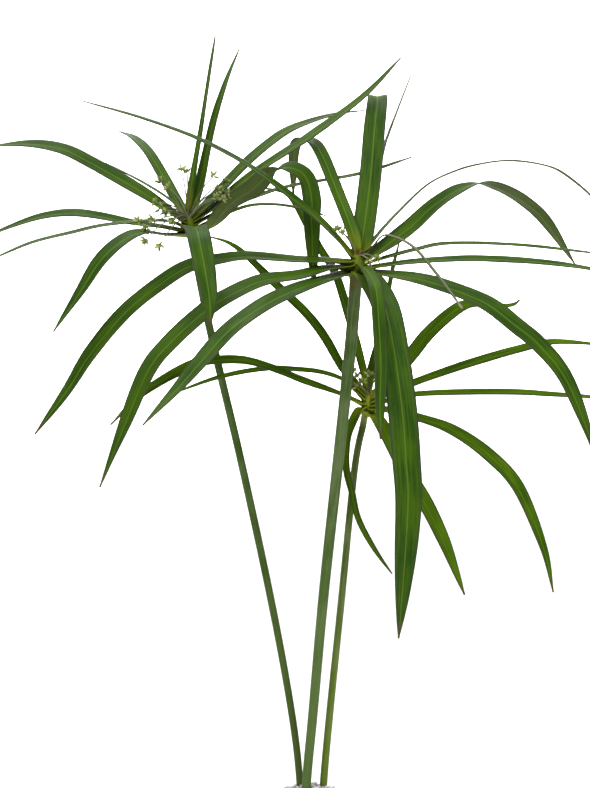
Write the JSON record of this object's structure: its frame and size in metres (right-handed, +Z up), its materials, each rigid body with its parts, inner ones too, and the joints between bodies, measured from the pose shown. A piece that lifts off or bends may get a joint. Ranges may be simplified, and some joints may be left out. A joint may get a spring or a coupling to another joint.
{
  "type": "potted umbrella sedge",
  "caption": "Umbrella sedge with arching ribbon bracts on slender leaning stems, growing in a plain round planter heaped with pale gravel.",
  "frame": {"origin": "centre of the planter's flat underside", "axes": "+Z up along the planter's axis; -Y is the side that the picture shows, with the left crown towards -X"},
  "size_m": [0.2938, 0.2102, 0.4373],
  "materials": {
    "planter": "plain off-white ceramic, satin",
    "gravel": "pale grey rounded gravel, dry and matte",
    "culm": "living green stem, finely striped, satin",
    "bract": "living green blade with parallel veins, satin",
    "dry_bract": "withered blade, matte",
    "flower_head": "pale yellow-green spikelets, matte"
  },
  "bodies": {
    "root": {"planter": "planter", "gravel": "gravel", "left_culm": "culm", "left_bract_01": "bract", "left_bract_02": "bract", "left_bract_03": "bract", "left_bract_04": "bract", "left_bract_05": "bract", "left_bract_06": "bract", "left_bract_07": "bract", "left_bract_08": "bract", "left_bract_09": "bract", "left_bract_10": "bract", "left_bract_11": "bract", "left_bract_12": "bract", "left_bract_13": "bract", "left_bract_14": "bract", "left_flower_head": "flower_head", "middle_culm": "culm", "middle_bract_01": "bract", "middle_bract_02": "bract", "middle_bract_03": "bract", "middle_bract_04": "bract", "middle_bract_05": "bract", "middle_bract_06": "bract", "middle_bract_07": "bract", "middle_bract_08": "bract", "middle_bract_09": "bract", "middle_bract_10": "bract", "middle_bract_11": "bract", "middle_bract_12": "bract", "middle_bract_13": "dry_bract", "middle_bract_14": "bract", "middle_bract_15": "bract", "middle_bract_16": "dry_bract", "middle_flower_head": "flower_head", "right_culm": "culm", "right_bract_01": "bract", "right_bract_02": "bract", "right_bract_03": "bract", "right_bract_04": "bract", "right_bract_05": "bract", "right_bract_06": "bract", "right_bract_07": "bract", "right_bract_08": "bract", "right_bract_09": "bract", "right_bract_10": "bract", "right_bract_11": "bract", "right_flower_head": "flower_head"}
  },
  "joints": []
}
